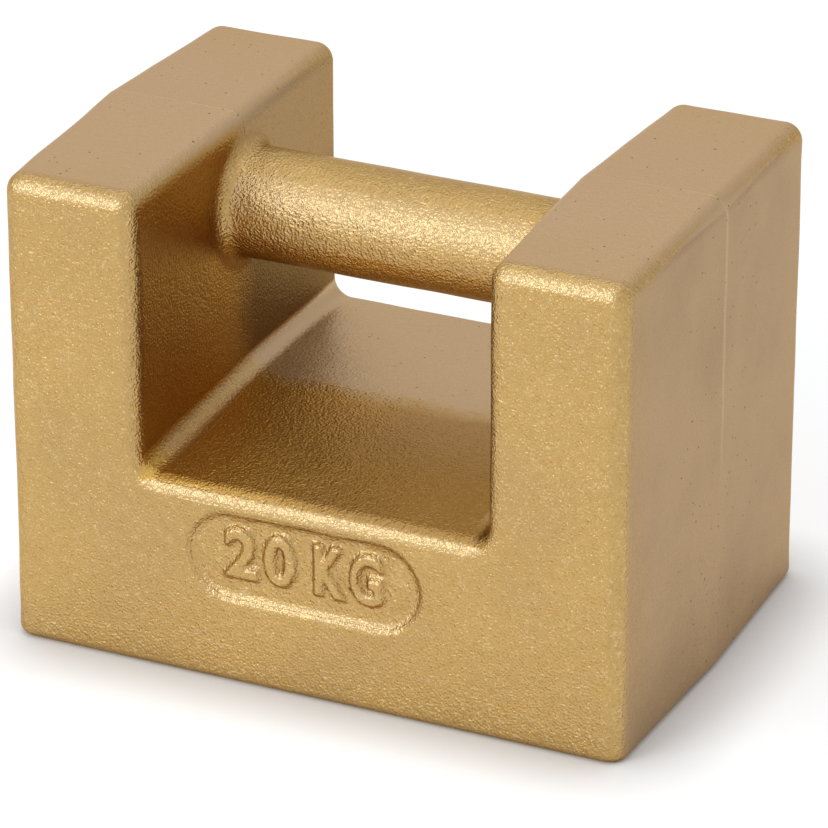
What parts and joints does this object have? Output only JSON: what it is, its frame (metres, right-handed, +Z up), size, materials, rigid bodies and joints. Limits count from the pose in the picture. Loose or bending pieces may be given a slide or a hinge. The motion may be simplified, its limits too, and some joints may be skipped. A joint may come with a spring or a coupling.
{
  "type": "calibration weight",
  "caption": "Rectangular iron calibration weight with an open channel, two uprights and a round grip bar between them, gold painted.",
  "frame": {"origin": "middle of the base, on the surface that the weight stands on", "axes": "+X along the grip bar and the longest side, -Y towards the marked front face, +Z up"},
  "size_m": [0.1972, 0.1354, 0.1486],
  "materials": {
    "gold_paint": "gold metallic paint over a cast surface, satin, with fine orange peel",
    "plug_brass": "turned brass, dull",
    "seal_lead": null,
    "rod_lead": null
  },
  "bodies": {
    "root": {"weight_casting": "gold_paint", "cavity_plug": "plug_brass", "lead_seal": "seal_lead", "adjusting_lead": "rod_lead"}
  },
  "joints": []
}
